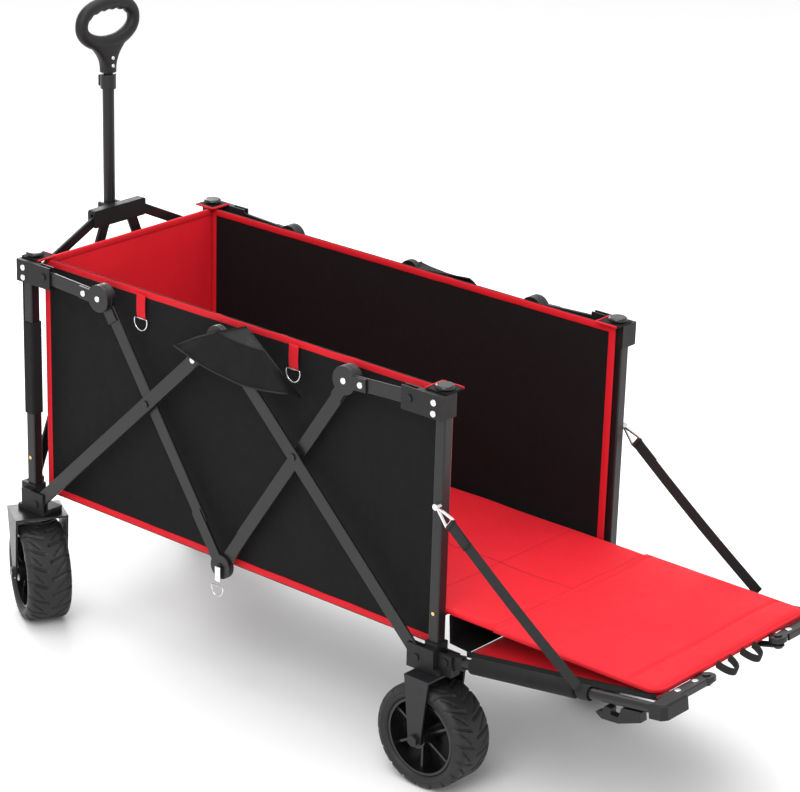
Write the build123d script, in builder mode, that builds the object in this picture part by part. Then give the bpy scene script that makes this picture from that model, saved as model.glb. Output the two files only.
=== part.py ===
"""Folding camp wagon with a drop tailgate, modelled open with the tailgate let down.

Frame: +X is the tailgate end, -X the handle end, -Y the left side when pulling, +Z up, floor at Z = 0.
Every side is a pair of bar linkages between two corner posts.  Positions in a side are written as
(u, z): u is the distance from the post's axis towards the middle of that side.  Layers are distances
outwards from the plane that holds the post axes.
"""

import os
from collections import namedtuple
from copy import copy
from math import acos, atan2, cos, hypot, radians, sin, sqrt

from build123d import *

os.makedirs("parts", exist_ok=True)

# ---------------------------------------------------------------- driving dimensions (mm, degrees)
post_span_x = 936.0          # between post axes, front to rear
post_span_y = 452.0          # between post axes, left to right
folded_span = 292.0          # between post axes, both ways, when folded

post_size = 20.0             # square tube
post_wall = 1.6
post_foot_z = 210.0
post_top_z = 672.0

side_foot = (23.0, 220.0)    # long bar's pivot in the foot
side_top_z = 646.0           # middle top pivot of a side
side_bottom_z = 234.0        # middle bottom pivot of a side
cross_fraction = 0.62        # where the bars cross, along the long bar
elbow_reach = 196.0          # cross bar, from the crossing to the elbow
head_pivot_u = 54.0          # rim bar's pivot in the head

bar_width = 24.0
long_layer = (13.4, 19.0)    # long bars and rim bars
cross_layer = (2.4, 8.0)     # cross bars
ear_outer = 22.6             # outer face of the clevis ears
knuckle_radius = 22.0
elbow_radius = 24.0
arm_half = 11.0              # half width of a knuckle's arm
arm_cover = 22.0             # how far an arm runs over its bar

pin_radius = 4.0
pin_clearance = 0.05
open_pivot_radius = 12.0     # hole round the pin of the pivot that is left open
rivet_head = 6.5
rivet_height = 2.2
gap = 0.4                    # between faces of pieces that move past each other

front_foot = (8.0, 232.0)    # front bar's pivot in the foot
front_bar_width = 22.0
yoke_bar_y = 30.0            # front bar's pivot in the yoke
yoke_bar_z = 694.0
yoke_strut_y = 52.0          # strut's pivot in the yoke
yoke_strut_z = 700.0
strut_width = 18.0
strut_end_z = 622.0          # strut's sliding pin, wagon open
strut_track_middle = 5.0     # middle of its track, inwards from the post's axis
strut_track_half = 10.0      # half the track's width
track_end = 5.5              # track's end past the pin's axis
yoke_z = (684.0, 716.0)
yoke_half_y = 64.0
yoke_depth = 17.0

wheel_radius = 90.0
wheel_width = 80.0
rim_radius = 66.0
hub_radius = 17.0
axle_radius = 6.0
caster_trail = 24.0
front_caster_yaw = 30.0      # how far the front casters are turned
fork_plate_top = 199.6
fork_thickness = 4.0
fork_width = 50.0
fork_gap = 4.0               # wheel side to fork leg
kingpin_radius = 8.0

tail_hinge_out = 28.0        # tailgate hinge, outwards from the rear post's axis
tail_hinge_z = 224.0
tail_angle = 8.0             # tailgate above level when let down
rail_length = 400.0
rail_radius = 8.5
sleeve_radius = 13.5
sleeve_span = (48.0, 255.0)
corner_block = (30.0, 46.0, 24.0)    # along the rail, inwards, thickness
elbow_in = 129.0             # tailgate elbow, inwards from the rail
tail_bar_s = 405.0           # tailgate elbow, along the rail
tail_middle_s = 62.0         # middle pivot of the tailgate's folding bars
tail_bar_layers = {-1: (-3.2, 0.6), 1: (-7.4, -3.6)}
tail_bar_width = 20.0
tail_middle_hole = 5.0       # hole round the middle pin, left open

handle_radius = 10.5
handle_wall = 1.5
handle_length = 250.0
handle_clearance = 0.08      # inner tube in the outer one, on the radius
handle_travel = 180.0        # how far the inner tube slides out
handle_out = 38.0            # handle pivot, outwards from the front posts' axes
handle_pivot_z = 700.0
grip_width = 152.0
grip_height = 92.0
grip_bar = 23.0

wall_inset = 18.0            # fabric wall's middle, inwards from the post axes
wall_thickness = 3.0
wall_bottom_z = 231.0
wall_top_z = 671.0
floor_top_z = 288.0
floor_thickness = 3.0
mat_thickness = 10.0
mat_side_gap = 3.0
tail_mat_x = (10.0, 412.0)   # tailgate mat, outwards from the rear post axes

strap_pivot_z = 487.0
strap_pivot_out = 4.0        # strap pivot, outwards from the rear post's axis
strap_standoff = 4.0         # strap, outwards from the post's side
strap_pin_radius = 2.5
strap_eye_radius = 5.2
strap_rail_s = 272.0         # where a strap meets the rail
strap_width = 20.0
strap_thickness = 2.0
foam_span = (385.0, 554.0)

# ---------------------------------------------------------------- worked out sizes
half_x = post_span_x / 2
half_y = post_span_y / 2
half_post = post_size / 2
half_folded = folded_span / 2
socket_half = half_post + 3.0
track_layer = (half_post, half_post + 2.3)
foam_half = long_layer[0] - 0.5

Corner = namedtuple("Corner", "name sx sy")
CORNERS = [
    Corner("front_left", -1, -1),
    Corner("front_right", -1, 1),
    Corner("rear_left", 1, -1),
    Corner("rear_right", 1, 1),
]


def side_linkage(half_span):
    """Places and angles of one side's bars when the middle is half_span from the post's axis."""
    foot_u, foot_z = side_foot
    open_run = half_x - foot_u
    long_length = hypot(open_run, side_top_z - foot_z)
    open_angle = atan2(side_top_z - foot_z, open_run)
    inner = (1 - cross_fraction) * long_length
    open_cross_z = foot_z + cross_fraction * long_length * sin(open_angle)
    cross_length = hypot((1 - cross_fraction) * open_run, open_cross_z - side_bottom_z)
    run = half_span - foot_u
    long_angle = acos(run / long_length)
    cross_angle = acos(inner * cos(long_angle) / cross_length)
    cross = (
        foot_u + cross_fraction * run,
        foot_z + cross_fraction * long_length * sin(long_angle),
    )
    elbow = (cross[0] - elbow_reach * cos(cross_angle), cross[1] + elbow_reach * sin(cross_angle))
    return {
        "long_angle": long_angle,
        "cross_angle": cross_angle,
        "long_length": long_length,
        "cross_length": cross_length,
        "top": (half_span, foot_z + long_length * sin(long_angle)),
        "bottom": (half_span, cross[1] - cross_length * sin(cross_angle)),
        "cross": cross,
        "elbow": elbow,
    }


side_open = side_linkage(half_x)
side_shut = side_linkage(half_folded)
elbow_open = side_open["elbow"]
elbow_shut = side_shut["elbow"]

# the rim bar closes on the elbow both open and folded, so its pivot is as far from both
head_pivot_z = (
    elbow_shut[1] ** 2
    - elbow_open[1] ** 2
    + (elbow_shut[0] - head_pivot_u) ** 2
    - (elbow_open[0] - head_pivot_u) ** 2
) / (2 * (elbow_shut[1] - elbow_open[1]))
head_pivot = (head_pivot_u, head_pivot_z)

# two bars of one layer may run side by side only beyond this distance from the pivot that they share
long_start = bar_width / 2 / cos(side_shut["long_angle"]) + 3.0
cross_start = bar_width / 2 / cos(side_shut["cross_angle"]) + 3.0

front_bar_length = hypot(half_y - front_foot[0] - yoke_bar_y, yoke_bar_z - front_foot[1])
strut_run = half_y - front_foot[0] - yoke_strut_y
strut_length = hypot(strut_run, yoke_strut_z - strut_end_z)
yoke_rise = (
    sqrt(front_bar_length**2 - (half_folded - front_foot[0] - yoke_bar_y) ** 2)
    - yoke_bar_z
    + front_foot[1]
)
strut_drop = sqrt(strut_length**2 - (half_folded - front_foot[0] - yoke_strut_y) ** 2)
strut_shut_z = yoke_strut_z + yoke_rise - strut_drop

tail_bar_length = hypot(half_y - elbow_in, tail_bar_s - tail_middle_s)
tail_open_angle = acos((half_y - elbow_in) / tail_bar_length)
tail_shut_angle = acos((half_folded - elbow_in) / tail_bar_length)

tail_dir = Vector(cos(radians(tail_angle)), 0, sin(radians(tail_angle)))
tail_normal = Vector(-sin(radians(tail_angle)), 0, cos(radians(tail_angle)))
tail_hinge_x = half_x + tail_hinge_out


# ---------------------------------------------------------------- shared helpers
def add_box(x, y, z, mode=Mode.ADD):
    """Box between two limits on each axis, added to the builder that is open."""
    centre = [(low + high) / 2 for low, high in (x, y, z)]
    size = [abs(high - low) for low, high in (x, y, z)]
    with Locations(Vector(*centre)):
        Box(*size, mode=mode)


def add_disc(centre, axis, radius, length, mode=Mode.ADD):
    """Cylinder that starts at centre and runs along axis."""
    with BuildSketch(Plane(origin=centre, z_dir=axis)) as profile:
        Circle(radius)
    extrude(profile.sketch, amount=length, mode=mode)


def corner_box(corner, out_x, out_y, z, mode=Mode.ADD):
    """Box given by outward distances from a corner post's axis."""
    x = [corner.sx * (half_x + d) for d in out_x]
    y = [corner.sy * (half_y + d) for d in out_y]
    add_box(x, y, z, mode)


def side_point(corner, at):
    """Point (u, z) in a side, on the plane of the post axes."""
    return Vector(corner.sx * (half_x - at[0]), corner.sy * half_y, at[1])


def front_point(corner, at):
    """Point (v, z) in the front, on the plane of the post axes; v is inwards from the post."""
    return Vector(-half_x, corner.sy * (half_y - at[0]), at[1])


def tail_point(side, inwards, along, up=0.0):
    """Point in the tailgate's own plane, on the side -1 (left) or 1 (right)."""
    base = Vector(tail_hinge_x, side * (half_y - inwards), tail_hinge_z)
    return base + tail_dir * along + tail_normal * up


def link_plane(start, end, outward):
    return Plane(origin=start, x_dir=end - start, z_dir=outward)


def layer_block(plane, run, half_width, layer, mode=Mode.ADD):
    """Flat block along a link: run is from..to along it, layer is from..to outwards."""
    with BuildSketch(plane.offset(layer[0])) as profile:
        with Locations(((run[0] + run[1]) / 2, 0)):
            Rectangle(run[1] - run[0], 2 * half_width)
    extrude(profile.sketch, amount=layer[1] - layer[0], mode=mode)


def layer_disc(plane, at, radius, layer, mode=Mode.ADD):
    with BuildSketch(plane.offset(layer[0])) as profile:
        with Locations((at, 0)):
            Circle(radius)
    extrude(profile.sketch, amount=layer[1] - layer[0], mode=mode)


def make_bar(plane, run, width, layer, eyes=(), holes=()):
    """Steel bar with rounded long edges, round eyes at the pivots and its holes: (at, radius)."""
    with BuildPart() as bar:
        layer_block(plane, run, width / 2, layer)
        for at in eyes:
            layer_disc(plane, at, width / 2, layer)
        fillet(bar.edges().filter_by(lambda edge: edge.length > 50), 1.8)
        for at, radius in holes:
            layer_disc(plane, at, radius, layer, Mode.SUBTRACT)
    bar.part.label = "bar"
    return bar.part


def make_knuckle(plane, at, arm_to, layer, radius, bar, hole):
    """Moulded disc round a pivot with an arm that holds the bar's end."""
    with BuildPart() as knuckle:
        layer_disc(plane, at, radius, layer)
        fillet(knuckle.edges().group_by(lambda edge: edge.length)[-1], 1.2)
        layer_block(plane, sorted((at, arm_to)), arm_half, layer)
        add(bar, mode=Mode.SUBTRACT)
        if hole:
            layer_disc(plane, at, hole, layer, Mode.SUBTRACT)
    knuckle.part.label = "knuckle"
    return knuckle.part


def make_rivet(plane, at, layer, shaft, heads=(True, True), washer=None):
    """Rivet through a link: shaft across the layer, a domed head at each marked end."""
    with BuildPart() as rivet:
        layer_disc(plane, at, shaft, layer)
        if heads[0]:
            layer_disc(plane, at, rivet_head, (layer[0] - rivet_height, layer[0]))
        if heads[1]:
            layer_disc(plane, at, rivet_head, (layer[1], layer[1] + rivet_height))
        if washer:
            layer_disc(plane, at, rivet_head + 2.0, washer)
    rivet.part.label = "rivet"
    return rivet.part


def make_stud(plane, at, base):
    """Rivet head that sits on a face."""
    with BuildPart() as stud:
        layer_disc(plane, at, rivet_head - 1.0, (base, base + rivet_height))
        fillet(stud.faces().sort_by(lambda f: (f.center() - plane.origin).dot(plane.z_dir))[-1].edges(), 1.2)
    stud.part.label = "stud"
    return stud.part


def save(name, *pieces):
    """One node: its separate solids."""
    return Compound(label=name, children=list(pieces))


shaft_hole = pin_radius + pin_clearance
nodes = []


# ---------------------------------------------------------------- corner posts, feet and heads
def make_post(corner):
    base = Vector(corner.sx * half_x, corner.sy * half_y, 0)
    with BuildPart() as tube:
        with BuildSketch(Plane.XY.offset(post_foot_z)):
            with Locations(base):
                RectangleRounded(post_size, post_size, 3.0)
                RectangleRounded(post_size - 2 * post_wall, post_size - 2 * post_wall, 1.4, mode=Mode.SUBTRACT)
        extrude(amount=post_top_z - post_foot_z)
    tube.part.label = "tube"
    with BuildPart() as button:
        face = base + Vector(0, corner.sy * half_post, 300)
        add_disc(face, Vector(0, corner.sy, 0), 3.2, 1.6)
    button.part.label = "spring_button"
    pieces = [tube.part, button.part]
    if corner.sx < 0:
        with BuildPart() as foam:
            with BuildSketch(Plane.XY.offset(foam_span[0])):
                with Locations(base):
                    RectangleRounded(2 * foam_half, 2 * foam_half, 6.0)
                    RectangleRounded(post_size, post_size, 3.0, mode=Mode.SUBTRACT)
            extrude(amount=foam_span[1] - foam_span[0])
        foam.part.label = "foam_sleeve"
        pieces.append(foam.part)
    else:
        plane = side_plane(corner, (-strap_pivot_out, strap_pivot_z))
        shaft_end = half_post + strap_standoff + 4.4
        with BuildPart() as rivet:
            layer_disc(plane, 0, strap_eye_radius, (half_post, half_post + strap_standoff + 0.2))
            layer_disc(plane, 0, strap_pin_radius, (half_post, shaft_end))
            layer_disc(plane, 0, strap_eye_radius, (shaft_end, shaft_end + rivet_height))
        rivet.part.label = "strap_rivet"
        pieces.append(rivet.part)
    nodes.append(save(f"post_{corner.name}", *pieces))


def add_post_hole(corner, z):
    base = Vector(corner.sx * half_x, corner.sy * half_y, 0)
    with BuildSketch(Plane.XY.offset(z[0])) as profile:
        with Locations(base):
            RectangleRounded(post_size, post_size, 3.0)
    extrude(profile.sketch, amount=z[1] - z[0], mode=Mode.SUBTRACT)


def side_plane(corner, at):
    """Plane at a pivot of a side: x inwards along the side, z outwards."""
    return Plane(origin=side_point(corner, at), x_dir=(-corner.sx, 0, 0), z_dir=(0, corner.sy, 0))


def front_plane(corner, at):
    """Plane at a pivot of the front: y up, z outwards."""
    return Plane(origin=front_point(corner, at), x_dir=(0, -1, 0), z_dir=(-1, 0, 0))


def make_foot(corner):
    slot = (long_layer[0] - gap, long_layer[1] + gap)
    ears = (half_post, ear_outer)
    foot_u, foot_z = side_foot
    top_z = foot_z + 22
    with BuildPart() as body:
        corner_box(corner, (-foot_u - 19, half_post + 12.6), (-24, ear_outer), (200, post_foot_z))
        corner_box(corner, (-socket_half, socket_half), (-socket_half, socket_half), (post_foot_z, 250))
        corner_box(corner, (-foot_u - 19, socket_half), ears, (200, top_z))
        side_cut = (-foot_u - 20, -foot_u + bar_width / 2 + 1)
        corner_box(corner, side_cut, slot, (foot_z - bar_width / 2 - 1, 251), Mode.SUBTRACT)
        if corner.sx < 0:
            v, z = front_foot
            corner_box(corner, ears, (-30, socket_half), (200, z + 18))
            front_cut = (-31, -v + front_bar_width / 2 + 1)
            corner_box(corner, slot, front_cut, (z - front_bar_width / 2 - 1, 251), Mode.SUBTRACT)
            layer_disc(front_plane(corner, front_foot), 0, pin_radius, ears, Mode.SUBTRACT)
        else:
            hinge_x = (half_post, tail_hinge_out + 13)
            tongue = (tail_hinge_out - 14.5, tail_hinge_out + 14)
            corner_box(corner, hinge_x, (-11, 11), (200, tail_hinge_z + 13))
            corner_box(corner, tongue, (-6.4, 6.4), (tail_hinge_z - 13, 251), Mode.SUBTRACT)
            pin_from = Vector(tail_hinge_x, corner.sy * half_y - 11, tail_hinge_z)
            add_disc(pin_from, Vector(0, 1, 0), pin_radius, 22, Mode.SUBTRACT)
        add_post_hole(corner, (post_foot_z, 251))
        layer_disc(side_plane(corner, side_foot), 0, pin_radius, ears, Mode.SUBTRACT)
        if corner.sx < 0:
            king_base = Vector(corner.sx * half_x, corner.sy * half_y, 200)
            add_disc(king_base, Vector(0, 0, 1), kingpin_radius + pin_clearance, 8, Mode.SUBTRACT)
    body.part.label = "moulding"
    pieces = [body.part, make_rivet(side_plane(corner, side_foot), 0, ears, pin_radius, (False, True))]
    if corner.sx < 0:
        pieces.append(make_rivet(front_plane(corner, front_foot), 0, ears, pin_radius, (False, True)))
    else:
        with BuildPart() as pin:
            start = Vector(tail_hinge_x, corner.sy * half_y - 11, tail_hinge_z)
            add_disc(start, Vector(0, 1, 0), pin_radius, 22)
            add_disc(start + Vector(0, 22, 0), Vector(0, 1, 0), rivet_head, rivet_height)
            add_disc(start, Vector(0, -1, 0), rivet_head, rivet_height)
        pin.part.label = "tailgate_pin"
        pieces.append(pin.part)
    nodes.append(save(f"foot_{corner.name}", *pieces))


def make_head(corner):
    slot = (long_layer[0] - gap, long_layer[1] + gap)
    ears = (half_post, ear_outer)
    low_z = head_pivot_z - 21
    with BuildPart() as body:
        corner_box(corner, (-socket_half, socket_half), (-socket_half, socket_half), (low_z, post_top_z))
        corner_box(corner, (-head_pivot_u - 16, socket_half), ears, (low_z, post_top_z))
        side_cut = (-head_pivot_u - 17, -head_pivot_u + bar_width / 2 + 1)
        corner_box(corner, side_cut, slot, (head_pivot_z - bar_width / 2 - 1, 680), Mode.SUBTRACT)
        add_post_hole(corner, (low_z, post_top_z))
        layer_disc(side_plane(corner, head_pivot), 0, pin_radius, ears, Mode.SUBTRACT)
    body.part.label = "moulding"
    with BuildPart() as cap:
        corner_box(corner, (-30, socket_half - 0.2), (-30, socket_half - 0.2), (post_top_z, post_top_z + 3))
        fillet(cap.edges().filter_by(Axis.Z), 5)
    cap.part.label = "corner_plate"
    with BuildPart() as button:
        x = corner.sx * (half_x - 5)
        y = corner.sy * (half_y - 5)
        top = post_top_z + 3
        add_disc(Vector(x, y, top), Vector(0, 0, 1), 9, 3)
        with BuildSketch(Plane.XY.offset(top + 3)):
            with Locations((x, y)):
                Circle(16)
        extrude(amount=5)
        fillet(button.faces().sort_by(Axis.Z)[-1].edges(), 4)
    button.part.label = "button"
    rivet = make_rivet(side_plane(corner, head_pivot), 0, ears, pin_radius, (False, True))
    studs = [
        make_stud(side_plane(corner, (4, head_pivot_z + 6)), 0, ear_outer),
        make_stud(side_plane(corner, (4, head_pivot_z - 12)), 0, ear_outer),
    ]
    pieces = [body.part, cap.part, button.part, rivet] + studs
    if corner.sx < 0:
        with BuildPart() as track:
            corner_box(corner, track_layer, (-24, 10), (foam_span[1] + 0.5, low_z - 0.5))
            slot_z = (strut_shut_z - track_end, strut_end_z + track_end)
            slot_y = (-strut_track_middle - strut_track_half, -strut_track_middle + strut_track_half)
            corner_box(corner, (half_post - 1, half_post + 4), slot_y, slot_z, Mode.SUBTRACT)
        track.part.label = "strut_track"
        pieces.append(track.part)
    nodes.append(save(f"head_{corner.name}", *pieces))


# ---------------------------------------------------------------- side bars
def make_side_bars(corner):
    """Long bar, cross bar and rim bar of the half side next to a corner."""
    outward = Vector(0, corner.sy, 0)
    front = corner.sx < 0
    half_long = (half_post + 0.6, (long_layer[0] + long_layer[1]) / 2 - gap / 2)
    half_long_outer = (half_long[1] + gap, ear_outer)
    middle = (cross_layer[0] + cross_layer[1]) / 2
    half_cross = (cross_layer[0] - 3.4, middle - gap / 2)
    half_cross_outer = (middle + gap / 2, cross_layer[1] + 3.0)

    # long bar, from the foot to the top middle pivot
    length = side_open["long_length"]
    crossing = cross_fraction * length
    plane = link_plane(side_point(corner, side_foot), side_point(corner, side_open["top"]), outward)
    bar = make_bar(
        plane,
        (0, length - long_start),
        bar_width,
        long_layer,
        eyes=[0],
        holes=[(0, shaft_hole), (crossing, pin_radius)],
    )
    disc_layer = half_long_outer if front else half_long
    hole = pin_radius if front else shaft_hole
    arm_end = length - long_start - arm_cover
    knuckle = make_knuckle(plane, length, arm_end, disc_layer, knuckle_radius, bar, hole)
    rivet = make_rivet(
        plane,
        crossing,
        (cross_layer[0] - gap, long_layer[1]),
        pin_radius,
        washer=(cross_layer[1] + gap, long_layer[0]),
    )
    stud_base = ear_outer if front else long_layer[1]
    stud = make_stud(plane, length - long_start - arm_cover / 2, stud_base)
    pieces = [bar, knuckle, rivet, stud]
    if front:
        pin_layer = (half_long[0] - gap, half_long_outer[1])
        pieces.append(make_rivet(plane, length, pin_layer, pin_radius))
    nodes.append(save(f"long_bar_{corner.name}", *pieces))

    # cross bar, from the bottom middle pivot to the elbow
    length = side_open["cross_length"] + elbow_reach
    crossing = side_open["cross_length"]
    start = side_point(corner, side_open["bottom"])
    plane = link_plane(start, side_point(corner, elbow_open), outward)
    bar = make_bar(
        plane,
        (cross_start, length - elbow_radius + 4),
        bar_width,
        cross_layer,
        holes=[(crossing, shaft_hole)],
    )
    elbow_layer = (cross_layer[0] - 1.4, long_layer[0] - gap)
    disc_layer = half_cross_outer if front else half_cross
    hole = pin_radius if front else open_pivot_radius
    low = make_knuckle(plane, 0, cross_start + arm_cover, disc_layer, knuckle_radius, bar, hole)
    high = make_knuckle(plane, length, length - elbow_radius - arm_cover, elbow_layer, elbow_radius, bar, 0)
    pieces = [bar, low, high]
    if front:
        pin_layer = (half_cross[0] - gap, half_cross_outer[1])
        pieces.append(make_rivet(plane, 0, pin_layer, pin_radius))
    nodes.append(save(f"cross_bar_{corner.name}", *pieces))

    # rim bar, from the head to the elbow
    start = side_point(corner, head_pivot)
    end = side_point(corner, elbow_open)
    plane = link_plane(start, end, outward)
    length = (end - start).length
    bar = make_bar(
        plane,
        (0, length - elbow_radius + 4),
        bar_width,
        long_layer,
        eyes=[0],
        holes=[(0, shaft_hole)],
    )
    elbow_layer = (long_layer[0], ear_outer)
    knuckle = make_knuckle(plane, length, length - elbow_radius - arm_cover, elbow_layer, elbow_radius, bar, 0)
    studs = [
        make_stud(plane, length, ear_outer),
        make_stud(plane, length - elbow_radius - arm_cover / 2, ear_outer),
    ]
    nodes.append(save(f"rim_bar_{corner.name}", bar, knuckle, *studs))


# ---------------------------------------------------------------- front bars, struts and yoke
def make_front_bars(corner):
    outward = Vector(-1, 0, 0)
    side = "left" if corner.sy < 0 else "right"
    yoke_pivot = Vector(-half_x, corner.sy * yoke_bar_y, yoke_bar_z)
    start = front_point(corner, front_foot)
    plane = link_plane(start, yoke_pivot, outward)
    bar = make_bar(
        plane,
        (0, front_bar_length),
        front_bar_width,
        long_layer,
        eyes=[0, front_bar_length],
        holes=[(0, shaft_hole), (front_bar_length, shaft_hole)],
    )
    nodes.append(save(f"front_bar_{side}", bar))

    strut_pivot = Vector(-half_x, corner.sy * yoke_strut_y, yoke_strut_z)
    end = front_point(corner, (front_foot[0], strut_end_z))
    plane = link_plane(strut_pivot, end, outward)
    bar = make_bar(
        plane,
        (0, strut_length),
        strut_width,
        long_layer,
        eyes=[0, strut_length],
        holes=[(0, shaft_hole), (strut_length, pin_radius)],
    )
    pin = make_rivet(plane, strut_length, (half_post + gap, long_layer[1]), pin_radius, (False, True))
    nodes.append(save(f"front_strut_{side}", bar, pin))


def make_yoke():
    slot = (long_layer[0] - gap, long_layer[1] + gap)
    deep = (half_post + 0.6, half_post + yoke_depth)
    pins = []
    with BuildPart() as body:
        add_box([-half_x - d for d in deep], (-yoke_half_y, yoke_half_y), yoke_z)
        fillet(body.edges().filter_by(Axis.X), 5)
        for y in (-17, 17):
            ear_y = sorted((y, y * 0.7))
            add_box((-half_x - deep[1], -half_x - handle_out - 12), ear_y, (handle_pivot_z - 13, yoke_z[1]))
        for side in (-1, 1):
            slot_y = sorted((side * (yoke_bar_y - front_bar_width / 2 - 1), side * (yoke_half_y + 1)))
            add_box([-half_x - d for d in slot], slot_y, (yoke_z[0] - 1, 710), Mode.SUBTRACT)
            for y, z in ((yoke_bar_y, yoke_bar_z), (yoke_strut_y, yoke_strut_z)):
                plane = Plane(origin=(-half_x, side * y, z), x_dir=(0, 1, 0), z_dir=(-1, 0, 0))
                layer_disc(plane, 0, pin_radius, deep, Mode.SUBTRACT)
                pins.append(make_rivet(plane, 0, deep, pin_radius, (False, True)))
        pin_start = Vector(-half_x - handle_out, -17, handle_pivot_z)
        add_disc(pin_start, Vector(0, 1, 0), pin_radius, 34, Mode.SUBTRACT)
    body.part.label = "block"
    with BuildPart() as pin:
        add_disc(pin_start, Vector(0, 1, 0), pin_radius, 34)
        add_disc(pin_start + Vector(0, 34, 0), Vector(0, 1, 0), rivet_head, rivet_height)
        add_disc(pin_start, Vector(0, -1, 0), rivet_head, rivet_height)
    pin.part.label = "handle_pin"
    nodes.append(save("yoke", body.part, pin.part, *pins))


# ---------------------------------------------------------------- handle
def make_handle():
    x = -half_x - handle_out
    foot = Vector(x, 0, handle_pivot_z)
    top = handle_pivot_z + handle_length
    up = Vector(0, 0, 1)
    with BuildPart() as tube:
        add_disc(foot, up, handle_radius, handle_length)
        add_disc(foot + up * 16, up, handle_radius - handle_wall, handle_length, Mode.SUBTRACT)
        add_disc(foot + Vector(0, -handle_radius, 0), Vector(0, 1, 0), handle_radius, 2 * handle_radius)
        add_disc(foot + Vector(0, -20, 0), Vector(0, 1, 0), pin_radius + pin_clearance, 40, Mode.SUBTRACT)
    tube.part.label = "outer_tube"
    with BuildPart() as collar:
        add_disc(Vector(x, 0, top - 26), up, handle_radius + 3.5, 26)
        fillet(collar.edges().group_by(Axis.Z)[-1], 2)
        add_disc(Vector(x, 0, top - 26), up, handle_radius, 26, Mode.SUBTRACT)
    collar.part.label = "collar"
    with BuildPart() as lever:
        add_box((x - 19, x - handle_radius - 3.5), (-6, 6), (top - 24, top - 4))
        fillet(lever.edges().filter_by(Axis.Y), 2)
    lever.part.label = "lock_button"
    nodes.append(save("handle_tube", tube.part, collar.part, lever.part))

    inner = handle_radius - handle_wall - handle_clearance
    with BuildPart() as stem:
        add_disc(Vector(x, 0, top - handle_travel - 35), up, inner, handle_travel + 65)
    stem.part.label = "inner_tube"
    base = top + 3.0
    half_w = grip_width / 2
    high = 30 + grip_height
    outer = [(-13, 0), (-13, 28), (-half_w, 66), (-half_w + 6, high)]
    inside = half_w - grip_bar
    inner_high = high - grip_bar
    window = [(-20, 54), (-inside, 74), (-inside + 4, inner_high)]
    outer += [(-x_, z_) for x_, z_ in reversed(outer)]
    window += [(-x_, z_) for x_, z_ in reversed(window)]
    plane = Plane(origin=(x, 0, base), x_dir=(0, -1, 0), z_dir=(-1, 0, 0))
    with BuildPart() as grip:
        with BuildSketch(plane.offset(-grip_bar / 2)):
            with BuildLine():
                FilletPolyline(*outer, radius=9, close=True)
            make_face()
            with BuildLine():
                FilletPolyline(*window, radius=8, close=True)
            make_face(mode=Mode.SUBTRACT)
        extrude(amount=grip_bar)
        fillet(grip.edges().filter_by(Axis.X, reverse=True), 5)
        add_disc(Vector(x, 0, base), up, inner, 27, Mode.SUBTRACT)
    grip.part.label = "grip"
    nodes.append(save("handle_grip", stem.part, grip.part))


# ---------------------------------------------------------------- casters
def caster_frame(corner):
    """Turned plane under a corner: x along the rolling direction, z up."""
    yaw = corner.sy * front_caster_yaw if corner.sx < 0 else 0.0
    roll = Vector(1, 0, 0).rotate(Axis.Z, yaw)
    return Plane(origin=(corner.sx * half_x, corner.sy * half_y, 0), x_dir=roll, z_dir=(0, 0, 1))


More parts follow.
